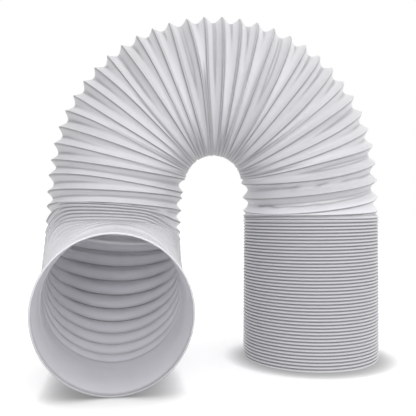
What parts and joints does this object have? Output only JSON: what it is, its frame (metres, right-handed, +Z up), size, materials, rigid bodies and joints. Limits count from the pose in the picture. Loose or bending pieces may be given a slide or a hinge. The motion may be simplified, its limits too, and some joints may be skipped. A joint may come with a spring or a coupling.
{
  "type": "dryer vent hose",
  "caption": "Round flexible vent hose with fine helical pleats, bent over in an arch: one leg folded shut and upright, the other turning forward to a smooth open cuff.",
  "frame": {"origin": "centre of the footprint's box, on the floor", "axes": "+Z up, +X towards the folded leg, -Y towards the side that the open cuff faces"},
  "size_m": [0.3694, 0.2358, 0.3725],
  "materials": {
    "hose_plastic": "satin, light grey"
  },
  "bodies": {
    "root": {"vent_hose": "hose_plastic"}
  },
  "joints": []
}
